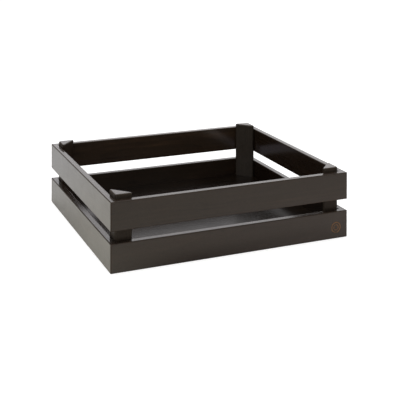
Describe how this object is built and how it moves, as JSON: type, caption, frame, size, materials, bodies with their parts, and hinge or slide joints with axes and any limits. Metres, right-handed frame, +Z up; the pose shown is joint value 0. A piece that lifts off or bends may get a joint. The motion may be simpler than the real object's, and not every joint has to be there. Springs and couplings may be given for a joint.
{
  "type": "slatted display crate",
  "caption": "Open-topped stackable slatted wooden crate with triangular corner posts that rise above the rim and a flat base let into the lower slats.",
  "frame": {"origin": "centre of the footprint, on the surface the crate rests on", "axes": "+X along the long front to the right, +Y from the front to the back, +Z up"},
  "size_m": [0.35, 0.29, 0.0965],
  "materials": {
    "slat_wood": "dark brown stain under satin lacquer, fine lengthwise grain",
    "post_wood": "dark brown stain under satin lacquer, upright grain",
    "base_board": "dark brown stain under smooth satin lacquer",
    "brad_steel": "plain steel wire"
  },
  "bodies": {
    "root": {"base_panel": "base_board", "front_left_brads": "brad_steel", "front_left_post": "post_wood", "front_lower_slat": "slat_wood", "front_right_brads": "brad_steel", "front_right_post": "post_wood", "front_upper_slat": "slat_wood", "left_lower_slat": "slat_wood", "left_upper_slat": "slat_wood", "rear_left_brads": "brad_steel", "rear_left_post": "post_wood", "rear_lower_slat": "slat_wood", "rear_right_brads": "brad_steel", "rear_right_post": "post_wood", "rear_upper_slat": "slat_wood", "right_lower_slat": "slat_wood", "right_upper_slat": "slat_wood"}
  },
  "joints": []
}
